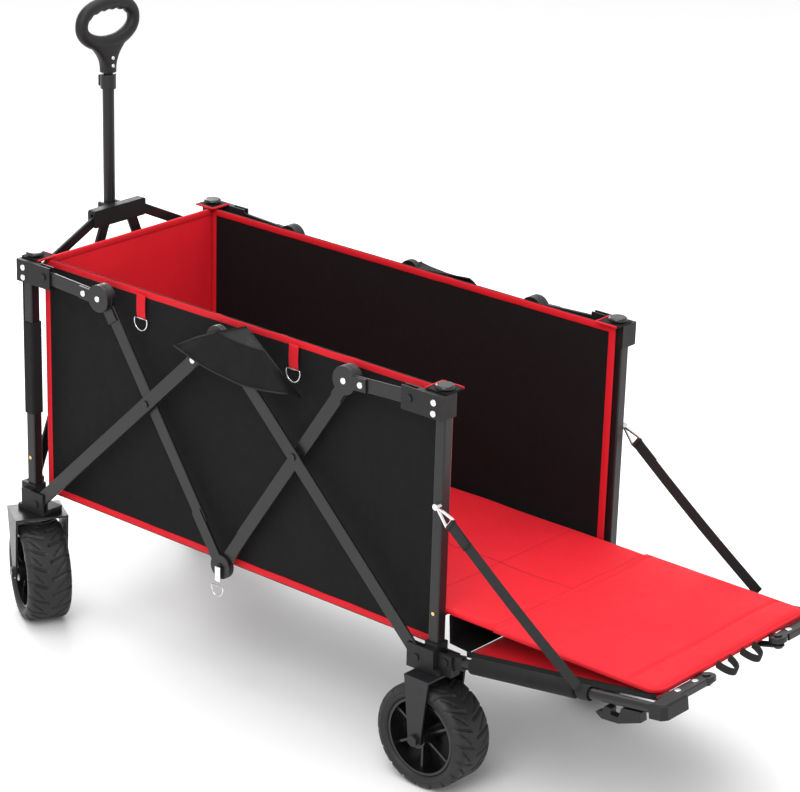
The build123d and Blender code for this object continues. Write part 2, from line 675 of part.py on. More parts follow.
def make_caster(corner):
    frame = caster_frame(corner)
    trail = caster_trail if corner.sx < 0 else 0.0
    leg_in = wheel_width / 2 + fork_gap
    leg_out = leg_in + fork_thickness
    with BuildPart() as fork:
        with BuildSketch(frame.offset(fork_plate_top - fork_thickness)):
            with Locations((trail / 2, 0)):
                Rectangle(fork_width + trail, 2 * leg_out)
        extrude(amount=fork_thickness)
        for side in (-1, 1):
            origin = frame.origin + frame.y_dir * (side * leg_in)
            leg = Plane(origin=origin, x_dir=frame.x_dir, z_dir=frame.y_dir * side)
            upright = 1 if leg.y_dir.Z > 0 else -1
            with BuildSketch(leg):
                with BuildLine():
                    top = upright * fork_plate_top
                    hub = upright * wheel_radius
                    Polyline(
                        (-fork_width / 2, top),
                        (fork_width / 2 + trail, top),
                        (trail + 13, hub),
                        (trail - 13, hub),
                        (-fork_width / 2, top),
                    )
                make_face()
                with Locations((trail, hub)):
                    Circle(13)
            extrude(amount=fork_thickness)
        axle_at = frame.origin + frame.x_dir * trail + Vector(0, 0, wheel_radius)
        add_disc(axle_at - frame.y_dir * 60, frame.y_dir, axle_radius, 120, Mode.SUBTRACT)
        if corner.sx < 0:
            add_disc(frame.origin + Vector(0, 0, fork_plate_top), Vector(0, 0, 1), kingpin_radius, 8)
        else:
            with BuildSketch(frame.offset(fork_plate_top)):
                Circle(14)
            extrude(amount=200 - fork_plate_top)
    fork.part.label = "fork"
    with BuildPart() as axle:
        reach = leg_out + 1.5
        add_disc(axle_at - frame.y_dir * reach, frame.y_dir, axle_radius, 2 * reach)
        for side in (-1, 1):
            with BuildSketch(Plane(origin=axle_at + frame.y_dir * (side * leg_out), z_dir=frame.y_dir * side)):
                RegularPolygon(10, 6)
            extrude(amount=6)
    axle.part.label = "axle_bolt"
    nodes.append(save(f"fork_{corner.name}", fork.part, axle.part))

    hub_plane = Plane(origin=axle_at - frame.y_dir * (wheel_width / 2), z_dir=frame.y_dir)
    with BuildPart() as rim:
        with BuildSketch(hub_plane.offset(6)):
            Circle(rim_radius)
            Circle(rim_radius - 4, mode=Mode.SUBTRACT)
        extrude(amount=wheel_width - 12)
        with BuildSketch(hub_plane.offset(wheel_width / 2 - 3)):
            Circle(rim_radius - 3)
        extrude(amount=6)
        with BuildSketch(hub_plane.offset(-1.5)):
            Circle(hub_radius)
        extrude(amount=wheel_width + 3)
        with BuildSketch(hub_plane.offset(14)):
            with PolarLocations(hub_radius - 2, 6):
                with Locations((25, 0)):
                    Rectangle(50, 4)
        extrude(amount=wheel_width - 28)
        with BuildSketch(hub_plane.offset(-2)):
            Circle(axle_radius + pin_clearance)
        extrude(amount=wheel_width + 4, mode=Mode.SUBTRACT)
    rim.part.label = "rim"
    nodes.append(save(f"rim_{corner.name}", rim.part))
    with BuildPart() as tyre:
        with BuildSketch(hub_plane):
            Circle(wheel_radius)
            Circle(rim_radius, mode=Mode.SUBTRACT)
        extrude(amount=wheel_width)
        fillet(tyre.edges().group_by(lambda edge: edge.length)[-1], 12)
    tyre.part.label = "tyre"
    nodes.append(save(f"tyre_{corner.name}", tyre.part))


# ---------------------------------------------------------------- tailgate
def make_tailgate_half(side):
    name = "left" if side < 0 else "right"
    in_dir = Vector(0, -side, 0)
    hinge = tail_point(side, 0, 0)
    with BuildPart() as tongue:
        plane = Plane(origin=hinge, x_dir=tail_dir, z_dir=(0, -1, 0))
        layer_disc(plane, 0, 12, (-6, 6))
        layer_block(plane, (0, 32), 11, (-6, 6))
        layer_disc(plane, 0, pin_radius + pin_clearance, (-7, 7), Mode.SUBTRACT)
    tongue.part.label = "hinge_tongue"
    with BuildPart() as tube:
        add_disc(hinge + tail_dir * 32, tail_dir, rail_radius, rail_length - 32)
        add_disc(hinge + tail_dir * 34, tail_dir, rail_radius - 1.5, rail_length - 36, Mode.SUBTRACT)
    tube.part.label = "tube"
    with BuildPart() as sleeve:
        add_disc(hinge + tail_dir * sleeve_span[0], tail_dir, sleeve_radius, sleeve_span[1] - sleeve_span[0])
        fillet(sleeve.edges(), 2)
        add_disc(hinge + tail_dir * sleeve_span[0], tail_dir, rail_radius, 300, Mode.SUBTRACT)
    sleeve.part.label = "foam_sleeve"
    along, inwards, thick = corner_block
    with BuildPart() as block:
        plane = Plane(origin=tail_point(side, 0, rail_length), x_dir=tail_dir, z_dir=tail_normal)
        toward = 1 if plane.y_dir.dot(in_dir) > 0 else -1
        with BuildSketch(plane.offset(-thick / 2)):
            with BuildLine():
                Polyline(
                    (0, -toward * 14),
                    (along - 8, -toward * 14),
                    (along, -toward * 6),
                    (along, toward * inwards),
                    (-6, toward * inwards),
                    (-6, toward * 14),
                    (0, toward * 14),
                    (0, -toward * 14),
                )
            make_face()
        extrude(amount=thick)
        chamfer(block.edges().group_by(lambda edge: (edge.center() - plane.origin).dot(tail_normal))[-1], 3)
    block.part.label = "corner_block"
    nodes.append(save(f"tailgate_rail_{name}", tongue.part, tube.part, sleeve.part, block.part))

    # end arm, fixed in the corner block and carrying the elbow
    arm_start = tail_point(side, inwards, tail_bar_s)
    elbow = tail_point(side, elbow_in, tail_bar_s)
    plane = link_plane(arm_start, elbow, tail_normal)
    reach = elbow_in - inwards
    with BuildPart() as arm:
        layer_block(plane, (0, reach - 16), 11, (-2, 10))
        layer_block(plane, (0, reach), 9, (1, 10))
        layer_disc(plane, reach, 15, (1, 10))
        fillet(arm.edges().filter_by(lambda edge: edge.length > 50), 2)
        layer_disc(plane, reach, pin_radius, (0, 11), Mode.SUBTRACT)
    arm.part.label = "arm"
    layer = tail_bar_layers[side]
    pin = make_rivet(plane, reach, (layer[0] - gap, 10), pin_radius)
    studs = [make_stud(plane, reach - 30, 10), make_stud(plane, 8, 10)]
    pieces = [arm.part, pin, *studs]
    if side > 0:
        with BuildPart() as spacer:
            layer_disc(plane, reach, rivet_head, (layer[1] + gap, 1))
            layer_disc(plane, reach, pin_radius, (layer[1] + gap, 1), Mode.SUBTRACT)
        spacer.part.label = "spacer"
        pieces.append(spacer.part)
    nodes.append(save(f"tailgate_arm_{name}", *pieces))

    # folding bar, from the elbow to the bottom middle of the tailgate
    middle = tail_point(side, half_y, tail_middle_s)
    plane = link_plane(elbow, middle, tail_normal)
    length = tail_bar_length
    middle_hole = pin_radius if side < 0 else tail_middle_hole
    bar = make_bar(
        plane,
        (0, length),
        tail_bar_width,
        layer,
        eyes=[0, length],
        holes=[(0, shaft_hole), (length, middle_hole)],
    )
    pieces = [bar]
    if side < 0:
        pieces.append(make_rivet(plane, length, (tail_bar_layers[1][0] - gap, layer[1]), pin_radius))
    nodes.append(save(f"tailgate_bar_{name}", *pieces))

    # latch hook on the rail, next to the corner block
    with BuildPart() as hook:
        plane = Plane(origin=tail_point(side, 0, 366), x_dir=tail_dir, z_dir=(0, side, 0))
        down = -1 if plane.y_dir.dot(tail_normal) > 0 else 1
        with BuildSketch(plane.offset(-7)):
            with BuildLine():
                Polyline(
                    (14, down * 9.0),
                    (14, down * 26),
                    (-30, down * 36),
                    (-62, down * 34),
                    (-74, down * 24),
                    (-60, down * 22),
                    (-54, down * 12),
                    (-42, down * 14),
                    (-44, down * 24),
                    (-30, down * 26),
                    (-22, down * 9.0),
                    (14, down * 9.0),
                )
            make_face()
        extrude(amount=14)
        fillet(hook.edges().filter_by(Axis.Y), 1.5)
    hook.part.label = "hook"
    nodes.append(save(f"tailgate_hook_{name}", hook.part))


def make_strap(corner):
    """Wire bail on the rear post and the webbing down to the tailgate rail."""
    side = corner.sy
    name = "left" if side < 0 else "right"
    y = side * (half_y + half_post + strap_standoff)
    pivot = Vector(half_x + strap_pivot_out, y, strap_pivot_z)
    land = tail_point(side, 0, strap_rail_s, rail_radius + 3)
    land = Vector(land.X, y, land.Z)
    run = land - pivot
    down = run.normalized()
    wire = 1.7
    loop = 34.0
    with BuildPart() as bail:
        plane = Plane(origin=pivot, x_dir=down, z_dir=(0, side, 0))
        with BuildSketch(plane.offset(0.6)):
            with BuildLine():
                Polyline((0, 0), (loop, 10), (loop, -10), (0, 0))
            make_face()
            offset(amount=wire, kind=Kind.ARC)
            with BuildLine():
                Polyline((6, 0), (loop - wire, 8.2), (loop - wire, -8.2), (6, 0))
            make_face(mode=Mode.SUBTRACT)
            Circle(strap_eye_radius)
            Circle(strap_pin_radius + pin_clearance, mode=Mode.SUBTRACT)
        extrude(amount=2 * wire)
    bail.part.label = "bail"
    nodes.append(save(f"strap_bail_{name}", bail.part))
    with BuildPart() as web:
        centre = pivot + down * ((loop + wire + 1 + run.length) / 2)
        plane = Plane(origin=centre, x_dir=down, z_dir=(0, side, 0))
        with BuildSketch(plane.offset(0.6)):
            Rectangle(run.length - loop - wire - 1, strap_width)
        extrude(amount=strap_thickness)
    web.part.label = "webbing"
    nodes.append(save(f"strap_webbing_{name}", web.part))


# ---------------------------------------------------------------- fabric
def make_tub(side):
    """Half of the fabric tub: a long wall, half of the floor, and on the left the front wall."""
    name = "left" if side < 0 else "right"
    wall_y = side * (half_y - wall_inset)
    half_wall = wall_thickness / 2
    front_x = -half_x + wall_inset
    with BuildPart() as wall:
        add_box(
            (front_x - half_wall, half_x),
            (wall_y - half_wall, wall_y + half_wall),
            (wall_bottom_z, wall_top_z),
        )
    wall.part.label = "long_wall"
    pieces = [wall.part]
    inner_y = half_y - wall_inset - half_wall
    step = 0.0 if side < 0 else floor_thickness + gap
    floor_y = sorted((0, side * inner_y))
    with BuildPart() as floor:
        top = floor_top_z - step
        add_box((front_x + half_wall, half_x), floor_y, (top - floor_thickness, top))
    floor.part.label = "floor"
    pieces.append(floor.part)
    if side < 0:
        with BuildPart() as front:
            add_box(
                (front_x - half_wall, front_x + half_wall),
                (-inner_y, inner_y),
                (wall_bottom_z, wall_top_z),
            )
        front.part.label = "front_wall"
        pieces.append(front.part)
    nodes.append(save(f"tub_{name}", *pieces))


def make_tailgate_mat():
    reach = half_y - wall_inset - wall_thickness / 2 - mat_side_gap
    with BuildPart() as mat:
        add_box(
            (half_x + tail_mat_x[0], half_x + tail_mat_x[1]),
            (-reach, reach),
            (floor_top_z, floor_top_z + mat_thickness),
        )
        fillet(mat.edges().filter_by(Axis.Z), 20)
    mat.part.label = "mat"
    nodes.append(save("tailgate_mat", mat.part))


for corner in CORNERS:
    make_post(corner)
    make_foot(corner)
    make_head(corner)
    make_side_bars(corner)
    make_caster(corner)
for corner in CORNERS[:2]:
    make_front_bars(corner)
make_yoke()
make_handle()
for side in (-1, 1):
    make_tailgate_half(side)
    make_tub(side)
for corner in CORNERS[2:]:
    make_strap(corner)
make_tailgate_mat()

# the origin goes under the middle of the whole wagon's box
whole = Compound(children=[copy(node) for node in nodes]).bounding_box()
origin_shift = -(whole.min.X + whole.max.X) / 2
for node in nodes:
    moved = node.moved(Location((origin_shift, 0, 0)))
    moved.label = node.label
    export_step(moved, f"parts/{node.label}.step")
print(len(nodes), "nodes, shifted by", round(origin_shift, 3))
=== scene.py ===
"""Folding camp wagon: fabric, straps, tyres, finishes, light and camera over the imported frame."""

from math import cos, exp, pi, radians, sin

import bpy
from mathutils import Matrix, Vector, noise


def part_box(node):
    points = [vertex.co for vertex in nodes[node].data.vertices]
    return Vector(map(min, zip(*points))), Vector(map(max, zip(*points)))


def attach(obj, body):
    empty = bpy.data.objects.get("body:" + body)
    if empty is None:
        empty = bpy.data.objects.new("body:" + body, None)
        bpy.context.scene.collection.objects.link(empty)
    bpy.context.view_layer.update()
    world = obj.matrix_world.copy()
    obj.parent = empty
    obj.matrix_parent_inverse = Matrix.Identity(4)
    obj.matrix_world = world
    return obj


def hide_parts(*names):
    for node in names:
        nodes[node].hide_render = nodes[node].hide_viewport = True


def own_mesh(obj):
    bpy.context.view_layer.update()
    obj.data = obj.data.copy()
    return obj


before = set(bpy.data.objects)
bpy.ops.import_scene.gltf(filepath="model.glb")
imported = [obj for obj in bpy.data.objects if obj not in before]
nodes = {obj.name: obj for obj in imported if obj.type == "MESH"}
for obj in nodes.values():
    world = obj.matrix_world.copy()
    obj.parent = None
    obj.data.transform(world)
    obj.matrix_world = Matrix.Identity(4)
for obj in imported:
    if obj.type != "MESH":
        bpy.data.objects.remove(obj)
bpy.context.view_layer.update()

# ------------------------------------------------------------------ places, from the frame
HALF_X = 0.468
HALF_Y = 0.226
X0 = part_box("tub_left")[1][0] - HALF_X
WALL_IN = 0.018
WALL_LOW, WALL_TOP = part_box("tub_left")[0][2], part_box("tub_left")[1][2]
WALL_Y = HALF_Y - WALL_IN
FRONT_X = X0 - HALF_X + WALL_IN
REAR_X = X0 + HALF_X
FLOOR_Z = 0.288
MAT_T = 0.010
TAIL = radians(8)
HINGE = Vector((X0 + HALF_X + 0.028, 0, 0.224))
TAIL_DIR = Vector((cos(TAIL), 0, sin(TAIL)))
TAIL_UP = Vector((-sin(TAIL), 0, cos(TAIL)))
CLOTH = 0.0024
HEM_WIDTH, HEM_THICKNESS = 0.0125, 0.0056
STRAP_S = 0.272          # along the rail, where a strap meets it
STRAP_PIVOT_Z = 0.487
SIDES = ((-1, "left"), (1, "right"))
CORNERS = {"front_left": "fl", "front_right": "fr", "rear_left": "rl", "rear_right": "rr"}


def tail(s, y, up=0.0):
    p = HINGE + TAIL_DIR * s + TAIL_UP * up
    return Vector((p.x, y, p.z))


# ------------------------------------------------------------------ materials
def material(name, color, rough, metal=0.0, bump=(), spots=None, sheen=0.0, coat=0.0, mottle=0.25, shine=0.5):
    """bump: (kind, scale, strength, distance in metres) layers in object space, one over the other."""
    mat = bpy.data.materials.new(name)
    mat.use_nodes = True
    tree = mat.node_tree
    tree.nodes.clear()
    new = tree.nodes.new
    out = new("ShaderNodeOutputMaterial")
    shader = new("ShaderNodeBsdfPrincipled")
    tree.links.new(shader.outputs[0], out.inputs[0])
    shader.inputs["Metallic"].default_value = metal
    shader.inputs["Specular IOR Level"].default_value = shine
    if sheen:
        shader.inputs["Sheen Weight"].default_value = sheen
        shader.inputs["Sheen Roughness"].default_value = 0.5
    if coat:
        shader.inputs["Coat Weight"].default_value = coat
        shader.inputs["Coat Roughness"].default_value = 0.15
    coords = new("ShaderNodeTexCoord")
    cloud = new("ShaderNodeTexNoise")
    cloud.inputs["Scale"].default_value = 9.0
    cloud.inputs["Detail"].default_value = 6.0
    tree.links.new(coords.outputs["Object"], cloud.inputs["Vector"])
    mix = new("ShaderNodeMix")
    mix.data_type = "RGBA"
    tree.links.new(cloud.outputs["Fac"], mix.inputs[0])
    mix.inputs[6].default_value = (*[c * (1 - mottle) for c in color], 1)
    mix.inputs[7].default_value = (*[min(1, c * (1 + mottle)) for c in color], 1)
    tint = mix.outputs[2]
    if spots:
        kind, scale, strength, other = spots
        pattern = texture(tree, coords, kind, scale)
        blend = new("ShaderNodeMix")
        blend.data_type = "RGBA"
        scaled = new("ShaderNodeMath")
        scaled.operation = "MULTIPLY"
        scaled.inputs[1].default_value = strength
        tree.links.new(pattern, scaled.inputs[0])
        tree.links.new(scaled.outputs[0], blend.inputs[0])
        tree.links.new(tint, blend.inputs[6])
        blend.inputs[7].default_value = (*other, 1)
        tint = blend.outputs[2]
    tree.links.new(tint, shader.inputs["Base Color"])
    wear = new("ShaderNodeTexNoise")
    wear.inputs["Scale"].default_value = 60.0
    wear.inputs["Detail"].default_value = 4.0
    tree.links.new(coords.outputs["Object"], wear.inputs["Vector"])
    span = new("ShaderNodeMapRange")
    span.inputs["To Min"].default_value = max(0.02, rough - 0.09)
    span.inputs["To Max"].default_value = min(1.0, rough + 0.09)
    tree.links.new(wear.outputs["Fac"], span.inputs["Value"])
    tree.links.new(span.outputs[0], shader.inputs["Roughness"])
    normal = None
    for kind, scale, strength, distance in bump:
        node = new("ShaderNodeBump")
        node.inputs["Strength"].default_value = strength
        node.inputs["Distance"].default_value = distance
        tree.links.new(texture(tree, coords, kind, scale), node.inputs["Height"])
        if normal:
            tree.links.new(normal, node.inputs["Normal"])
        normal = node.outputs[0]
    if normal:
        tree.links.new(normal, shader.inputs["Normal"])
    return mat


def texture(tree, coords, kind, scale):
    new = tree.nodes.new
    if kind == "weave":
        waves = []
        for direction in ("X", "Y", "Z"):
            wave = new("ShaderNodeTexWave")
            wave.bands_direction = direction
            wave.inputs["Scale"].default_value = scale
            wave.inputs["Distortion"].default_value = 0.6
            tree.links.new(coords.outputs["Object"], wave.inputs["Vector"])
            waves.append(wave.outputs["Fac"])
        first = new("ShaderNodeMath")
        first.operation = "MULTIPLY"
        tree.links.new(waves[0], first.inputs[0])
        tree.links.new(waves[1], first.inputs[1])
        second = new("ShaderNodeMath")
        second.operation = "ADD"
        tree.links.new(first.outputs[0], second.inputs[0])
        tree.links.new(waves[2], second.inputs[1])
        return second.outputs[0]
    if kind == "rib":
        wave = new("ShaderNodeTexWave")
        wave.bands_direction = "DIAGONAL"
        wave.inputs["Scale"].default_value = scale
        tree.links.new(coords.outputs["Object"], wave.inputs["Vector"])
        return wave.outputs["Fac"]
    if kind == "cells":
        cells = new("ShaderNodeTexVoronoi")
        cells.inputs["Scale"].default_value = scale
        tree.links.new(coords.outputs["Object"], cells.inputs["Vector"])
        return cells.outputs["Distance"]
    grain = new("ShaderNodeTexNoise")
    grain.inputs["Scale"].default_value = scale
    grain.inputs["Detail"].default_value = 5.0
    tree.links.new(coords.outputs["Object"], grain.inputs["Vector"])
    return grain.outputs["Fac"]


GREY = material(
    "powder_coat", (0.0075, 0.0075, 0.0085), 0.34, 0.0, [("noise", 900, 0.12, 0.0004)],
    ("noise", 35, 0.3, (0.018, 0.018, 0.02)), coat=0.05, shine=0.34
)
PLASTIC = material(
    "textured_plastic", (0.0075, 0.0075, 0.008), 0.5, 0.0,
    [("noise", 1400, 0.35, 0.0004), ("noise", 60, 0.08, 0.001)], shine=0.3
)
GLOSS = material(
    "gloss_plastic", (0.006, 0.006, 0.0065), 0.22, 0.0, [("noise", 300, 0.05, 0.0004)], coat=0.25,
    shine=0.4
)
FOAM = material(
    "foam_sleeve", (0.006, 0.006, 0.0065), 0.85, 0.0,
    [("cells", 700, 0.4, 0.0006), ("noise", 45, 0.5, 0.003)], sheen=0.04, shine=0.25
)
RUBBER = material(
    "tyre_rubber", (0.009, 0.009, 0.0095), 0.55, 0.0, [("noise", 800, 0.25, 0.0005)],
    ("noise", 22, 0.2, (0.024, 0.023, 0.022)), shine=0.4
)
CHROME = material("chrome", (0.72, 0.72, 0.73), 0.16, 1.0, [("noise", 500, 0.06, 0.0003)], mottle=0.06)
BRASS = material("brass", (0.72, 0.5, 0.2), 0.28, 1.0, [("noise", 500, 0.1, 0.0003)], mottle=0.1)
BLACK = material(
    "black_polyester", (0.0042, 0.0042, 0.0047), 0.66, 0.0,
    [("weave", 420, 0.4, 0.0004), ("noise", 14, 0.25, 0.006)],
    ("noise", 700, 0.3, (0.008, 0.008, 0.009)), sheen=0.008, shine=0.13
)
RED = material(
    "red_polyester", (0.68, 0.009, 0.020), 0.62, 0.0,
    [("weave", 420, 0.35, 0.0004), ("noise", 16, 0.2, 0.005)],
    ("noise", 700, 0.2, (0.5, 0.004, 0.01)), sheen=0.02, mottle=0.08, shine=0.18
)
WEB = material(
    "webbing", (0.011, 0.011, 0.012), 0.7, 0.0, [("rib", 330, 0.7, 0.0008)], sheen=0.03, shine=0.25
)
THREAD = material(
    "red_binding", (0.58, 0.007, 0.016), 0.6, 0.0, [("rib", 260, 0.5, 0.0006)], sheen=0.02,
    mottle=0.12, shine=0.18
)


# ------------------------------------------------------------------ mesh helpers
def finish_mesh(name, verts, faces, mats, smooth=True, slots=None):
    mesh = bpy.data.meshes.new(name)
    mesh.from_pydata([tuple(v) for v in verts], [], faces)
    for mat in mats:
        mesh.materials.append(mat)
    for k, poly in enumerate(mesh.polygons):
        poly.use_smooth = smooth
        if slots:
            poly.material_index = slots[k]
    obj = bpy.data.objects.new(name, mesh)
    bpy.context.scene.collection.objects.link(obj)
    return obj


def edge_loop(nu, nv):
    """Numbers of the points round a grid of nu by nv faces."""
    row = nu + 1
    loop = [i for i in range(nu)] + [j * row + nu for j in range(nv)]
    return loop + [nv * row + i for i in range(nu, 0, -1)] + [j * row for j in range(nv, 0, -1)]


def sheet_mesh(name, nu, nv, at, side, thickness, front, back):
    """Closed thin sheet: at(u, v) gives its middle, side is its outward direction."""
    side = Vector(side)
    verts, faces, slots = [], [], []
    for layer in (1, -1):
        for j in range(nv + 1):
            for i in range(nu + 1):
                verts.append(Vector(at(i / nu, j / nv)) + side * (layer * thickness / 2))
    row = nu + 1
    back_at = row * (nv + 1)
    for j in range(nv):
        for i in range(nu):
            a = j * row + i
            faces.append((a, a + 1, a + row + 1, a + row))
            slots.append(0)
            b = back_at + a
            faces.append((b, b + row, b + row + 1, b + 1))
            slots.append(1)
    rim = edge_loop(nu, nv)
    for k, a in enumerate(rim):
        b = rim[(k + 1) % len(rim)]
        faces.append((a, back_at + a, back_at + b, b))
        slots.append(0)
    return finish_mesh(name, verts, faces, [front, back], True, slots)


def strip(name, path, wide, thick, width, thickness, mat, closed=False, power=4.0, count=12):
    """Band swept along a path: wide and thick are directions or functions of the step."""
    verts, faces = [], []
    total = len(path)
    for k, p in enumerate(path):
        w = Vector(wide(k) if callable(wide) else wide).normalized()
        t = Vector(thick(k) if callable(thick) else thick).normalized()
        for i in range(count):
            a = 2 * pi * i / count
            c, s = cos(a), sin(a)
            x = (abs(c) ** (2 / power)) * (1 if c >= 0 else -1) * width / 2
            y = (abs(s) ** (2 / power)) * (1 if s >= 0 else -1) * thickness / 2
            verts.append(Vector(p) + w * x + t * y)
    for k in range(total if closed else total - 1):
        n = (k + 1) % total
        for i in range(count):
            j = (i + 1) % count
            faces.append((k * count + i, k * count + j, n * count + j, n * count + i))
    if not closed:
        faces.append(tuple(range(count - 1, -1, -1)))
        faces.append(tuple((total - 1) * count + i for i in range(count)))
    return finish_mesh(name, verts, faces, [mat])


def line(a, b, count):
    a, b = Vector(a), Vector(b)
    return [a.lerp(b, k / count) for k in range(count + 1)]


def ripple(x, z, seed, size=1.0):
    return size * (
        noise.noise(Vector((x * 5, z * 3, seed))) * 0.6
        + noise.noise(Vector((x * 17, z * 6, seed + 9))) * 0.25
    )


def ring(name, centre, normal, up, half_w, height, wire, mat):
    """D-shaped wire ring."""
    n, up = Vector(normal).normalized(), Vector(up).normalized()
    across = n.cross(up)
    path = []
    for k in range(28):
        a = 2 * pi * k / 28
        y = -sin(a)
        path.append(Vector(centre) + across * (cos(a) * half_w) + up * (min(y, 0.35) * height))
    def outward(k):
        return (path[k] - Vector(centre)).normalized()
    return strip(name, path, outward, n, wire, wire, mat, closed=True, power=2, count=8)


def long_squash(obj):
    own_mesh(obj)


# ------------------------------------------------------------------ long walls
def long_wall(side, tag):
    body = f"front_{tag}"
    y0 = side * WALL_Y
    length, height = REAR_X - FRONT_X, WALL_TOP - WALL_LOW

    def at(u, v):
        x = FRONT_X + u * length
        z = WALL_LOW + v * height
        fade = min(1, u * 12, (1 - u) * 12) * min(1, v * 8, (1 - v) * 8)
        swell = 0.0022 * sin(pi * v) * sin(pi * u * 2) ** 2
        pull = 0.0012 * sin(u * 46 + 3 * v) * exp(-((v - 0.1) * 4) ** 2)
        return (x, y0 + side * fade * (swell + pull + ripple(x, z, 3 + side, 0.004)), z)

    wall = sheet_mesh(f"wall_{tag}", 150, 70, at, (0, side, 0), CLOTH, BLACK, BLACK)
    hems = []
    for label, z in (("rim", WALL_TOP - 0.0065), ("hem", WALL_LOW + 0.0075)):
        path = [
            Vector((x.x, y0, z + 0.0008 * noise.noise(Vector((x.x * 20, 1, 7)))))
            for x in line((FRONT_X, 0, 0), (REAR_X, 0, 0), 90)
        ]
        hems.append(strip(
            f"wall_{tag}_{label}", path, (0, 0, 1), (0, 1, 0), HEM_WIDTH, HEM_THICKNESS, THREAD
        ))
    for label, x in (("end", REAR_X - 0.005), ("start", FRONT_X + 0.005)):
        path = line((x, y0, WALL_LOW + 0.004), (x, y0, WALL_TOP - 0.004), 50)
        hems.append(strip(
            f"wall_{tag}_{label}", path, (1, 0, 0), (0, 1, 0), HEM_WIDTH, HEM_THICKNESS, THREAD
        ))
    for piece in [wall] + hems:
        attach(piece, body)
        long_squash(piece)
    # ring tabs under the rim
    for k, x in enumerate((X0 - 0.210, X0 + 0.140)):
        y = y0 + side * 0.0048
        path = [
            Vector((x, y + side * 0.0012 * sin(pi * t / 10), WALL_TOP - 0.008 - 0.0042 * t))
            for t in range(11)
        ]
        tab = strip(f"tab_{tag}_{k}", path, (1, 0, 0), (0, 1, 0), 0.021, 0.0022, THREAD)
        dee = ring(
            f"tab_ring_{tag}_{k}", (x, y + side * 0.0012, WALL_TOP - 0.056), (0, 1, 0), (0, 0, 1),
            0.015, 0.016, 0.0026, CHROME
        )
        for piece, name in ((tab, "red_fabric"), (dee, "bright_steel")):
            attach(piece, body)
            long_squash(piece)
    # a tent of cloth from the rim over the middle knuckle
    peak, low_a, low_b = (X0 + 0.031, 0.664), (X0 - 0.137, 0.588), (X0 + 0.152, 0.574)

    def flap_at(u, v):
        left = Vector(peak).lerp(Vector(low_a), v)
        right = Vector(peak).lerp(Vector(low_b), v)
        p = left.lerp(right, u)
        pinned = min(1.0, 11 * min(u, 1 - u)) ** 0.7
        late = min(1.0, max(0.0, (v - 0.62) / 0.38))
        lift = 0.0465 * min(1.0, v * 2.6) * (1 - late * (1 - pinned)) + 0.004
        crease = 0.0014 * sin(u * 17 + v * 4) * v + 0.001
        z = min(p[1] - 0.022 * sin(pi * u) * v**2 + 0.55 * lift, WALL_TOP + 0.012)
        return (p[0] + 0.86 * lift, y0 + side * (lift + crease * sin(pi * u)), z)

    flap = sheet_mesh(f"flap_{tag}", 48, 28, flap_at, (0, side, 0), 0.0014, BLACK, BLACK)
    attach(flap, body)
    long_squash(flap)
    for label, rows in (
        ("left", [(0.0, v / 16) for v in range(17)]), ("right", [(1.0, v / 16) for v in range(17)]),
        ("low", [(u / 30, 1.0) for u in range(31)])
    ):
        path = [
            Vector(flap_at(*r)) + Vector((0, side * 0.0009, 0.0014 if label == "low" else 0))
            for r in rows
        ]
        seam = strip(f"flap_{tag}_{label}", path, (0, 0, 1), (0, 1, 0), 0.0034, 0.0018, WEB, power=2, count=8)
        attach(seam, body)
        long_squash(seam)


for side, tag in SIDES:
    long_wall(side, tag)


# steel tongue and wire catch under the bottom middle pivot of each side
for side, tag in SIDES:
    y = side * (HALF_Y + 0.0165)
    tongue = strip(
        f"catch_tongue_{tag}", line((X0, y, 0.236), (X0, y, 0.208), 12), (1, 0, 0), (0, 1, 0),
        0.013, 0.0016, CHROME, power=6
    )
    wire = ring(f"catch_wire_{tag}", (X0, y, 0.196), (0, 1, 0), (0, 0, 1), 0.013, 0.014, 0.0022, CHROME)
    for piece in (tongue, wire):
        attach(piece, f"cross_f{tag[0]}")


# red binding round the cloth on each corner plate
for name, body, sx, sy in (
    ("fl", "front_left", -1, -1), ("fr", "front_right", -1, 1), ("rl", "rear_left", 1, -1),
    ("rr", "rear_right", 1, 1)
):
    px, py = X0 + sx * HALF_X, sy * HALF_Y
    inner, outer = 0.0305, 0.0133
    corners = [
        (px - sx * inner, py + sy * outer), (px - sx * inner, py - sy * inner),
        (px + sx * outer, py - sy * inner)
    ]
    path = []
    for k in (0, 1):
        a, b = Vector(corners[k]), Vector(corners[k + 1])
        path += [Vector((*a.lerp(b, 0.04 + 0.92 * t / 10), 0.6742)) for t in range(11)]
    edge = strip(
        f"corner_binding_{name}", path, (0, 0, 1), lambda k, sx=sx,
        sy=sy: (sx, 0, 0) if k < 11 else (0, sy, 0), 0.0038, 0.0030, THREAD, power=3
    )
    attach(edge, body)


# ------------------------------------------------------------------ front wall
def front_at(u, v):
    y = -WALL_Y + 0.002 + u * (2 * WALL_Y - 0.004)
    z = WALL_LOW + v * (WALL_TOP - WALL_LOW)
    fade = min(1, u * 8, (1 - u) * 8) * min(1, v * 8, (1 - v) * 8)
    return (FRONT_X + fade * (ripple(y, z, 21, 0.005) + 0.002), y, z)


front = sheet_mesh("wall_front", 70, 70, front_at, (1, 0, 0), CLOTH, RED, BLACK)
front_hems = []
for label, z in (("rim", WALL_TOP - 0.0065), ("hem", WALL_LOW + 0.0075)):
    path = line((FRONT_X, -WALL_Y + 0.004, z), (FRONT_X, WALL_Y - 0.004, z), 40)
    front_hems.append(strip(
        f"wall_front_{label}", path, (0, 0, 1), (1, 0, 0), HEM_WIDTH, HEM_THICKNESS, THREAD
    ))
for piece in [front] + front_hems:
    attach(piece, "front_left")
    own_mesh(piece)
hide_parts("tub_left")
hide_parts("tub_right")

